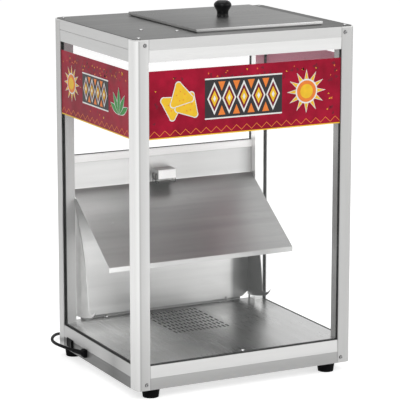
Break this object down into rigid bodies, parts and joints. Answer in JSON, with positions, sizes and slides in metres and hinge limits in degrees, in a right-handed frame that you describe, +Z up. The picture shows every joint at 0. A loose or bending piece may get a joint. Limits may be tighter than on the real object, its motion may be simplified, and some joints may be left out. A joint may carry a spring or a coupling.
{
  "type": "chip warmer",
  "caption": "Glazed aluminium-framed chip warmer with a lift-off top lid, sloping inner baffle, lamp, slotted heated floor, top-hinged rear serving flap, rocker switch and mains cord.",
  "frame": {"origin": "on the standing surface under the middle of the frame", "axes": "+Z up, front (long banner glass) towards -Y, +X to the right seen from the front"},
  "size_m": [0.4711, 0.5055, 0.7],
  "materials": {
    "aluminium_frame": "satin extrusion",
    "steel_sheet": "brushed sheet",
    "steel_fixings": "bright plated",
    "clear_glass": "clear pane",
    "lamp_glass": "clear dish",
    "black_rubber": "dull",
    "banner_film": "printed film",
    "black_gloss": "gloss",
    "black_matte": "matt",
    "white_enamel": "gloss enamel",
    "white_ceramic": "matt",
    "brass_pins": "plain"
  },
  "bodies": {
    "cabinet": {"baffle": "steel_sheet", "banner_front": "banner_film", "banner_left": "banner_film", "banner_right": "banner_film", "base_pan": "steel_sheet", "bottom_rail_front": "aluminium_frame", "bottom_rail_left": "aluminium_frame", "bottom_rail_rear": "aluminium_frame", "bottom_rail_right": "aluminium_frame", "cord_coil": "black_rubber", "cord_gland": "black_rubber", "corner_brackets": "steel_sheet", "feet": "black_rubber", "floor_plate": "steel_sheet", "glass_front": "clear_glass", "glass_left": "clear_glass", "glass_rear": "clear_glass", "glass_right": "clear_glass", "glazing_gaskets": "black_rubber", "heater_brackets": "steel_sheet", "heater_element": "steel_fixings", "heater_tray": "steel_sheet", "hinge_leaf_fixed": "steel_fixings", "hinge_pin": "steel_fixings", "hinge_rivets": "steel_fixings", "inner_leads": "black_matte", "lamp_bulb": "lamp_glass", "lamp_clips": "steel_fixings", "lamp_cover": "lamp_glass", "lamp_housing": "white_enamel", "lamp_socket": "white_ceramic", "plug_pins": "brass_pins", "post_caps": "aluminium_frame", "post_front_left": "aluminium_frame", "post_front_right": "aluminium_frame", "post_rear_left": "aluminium_frame", "post_rear_right": "aluminium_frame", "post_screws": "steel_fixings", "power_cord": "black_rubber", "power_plug": "black_gloss", "rear_channel": "aluminium_frame", "rear_cover": "steel_sheet", "rear_panel": "steel_sheet", "short_screws": "steel_fixings", "switch_body": "black_gloss", "terminal_block": "black_matte", "thermostat": "black_matte", "top_panel": "steel_sheet", "top_rail_front": "aluminium_frame", "top_rail_left": "aluminium_frame", "top_rail_rear": "aluminium_frame", "top_rail_right": "aluminium_frame", "top_stiffener": "steel_sheet"},
    "lid": {"lid": "steel_sheet", "lid_knob": "black_gloss", "lid_knob_screw": "steel_fixings"},
    "rear_flap": {"rear_flap": "steel_sheet", "hinge_leaf_flap": "steel_fixings", "flap_rivets": "steel_fixings"},
    "switch_rocker": {"switch_rocker": "black_gloss"}
  },
  "joints": [
    {"name": "lid_lift", "type": "slide", "parent": "cabinet", "child": "lid", "axis": [0, 0, 1], "range_m": [0, 0.12]},
    {"name": "rear_flap_hinge", "type": "hinge", "parent": "cabinet", "child": "rear_flap", "pos_m": [0, 0.1725, 0.3134], "axis": [1, 0, 0], "range_deg": [0, 20]},
    {"name": "rocker_tilt", "type": "hinge", "parent": "cabinet", "child": "switch_rocker", "pos_m": [-0.221, 0.1215, 0.035], "axis": [0, 0, 1], "range_deg": [0, 14]}
  ]
}
